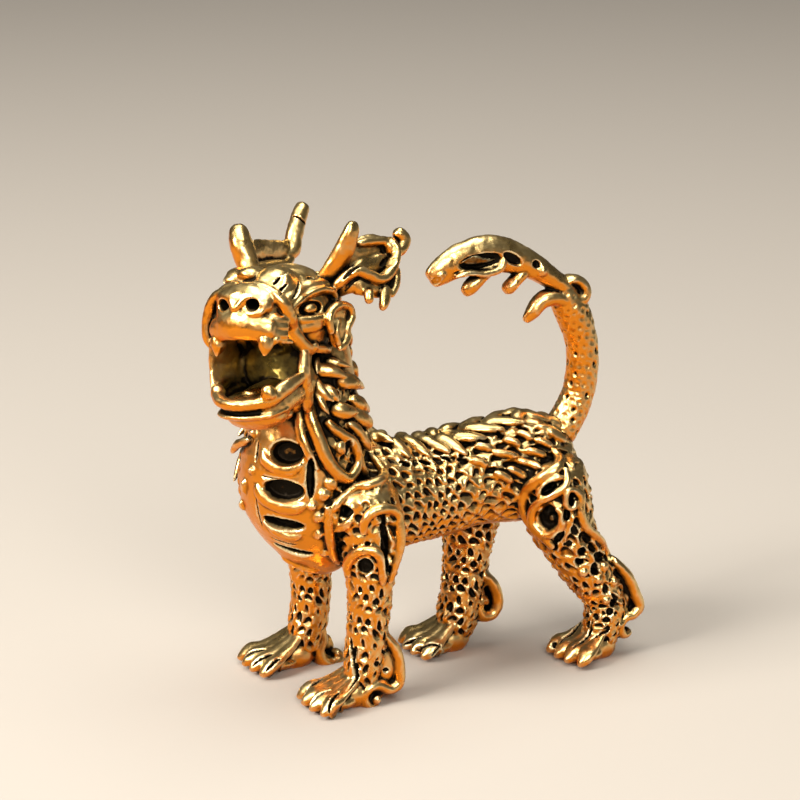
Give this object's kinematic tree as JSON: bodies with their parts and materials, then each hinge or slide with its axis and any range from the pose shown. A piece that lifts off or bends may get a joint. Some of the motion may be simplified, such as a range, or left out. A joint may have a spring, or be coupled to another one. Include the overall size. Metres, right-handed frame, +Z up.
{
  "type": "taotie figurine",
  "caption": "Cast brass figure of a horned scaled beast standing on its paws, head turned with open mouth, flame-ended tail curled forward over the back.",
  "frame": {"origin": "centre of the bounding box seen from above, at the floor the paws stand on", "axes": "+Z up, the beast's body faces -Y, its left side is +X"},
  "size_m": [0.021, 0.049, 0.0498],
  "materials": {
    "brass": "antiqued cast brass, rubbed bright on the high places and near black in the recesses"
  },
  "bodies": {
    "root": {"taotie_figure": "brass"}
  },
  "joints": []
}
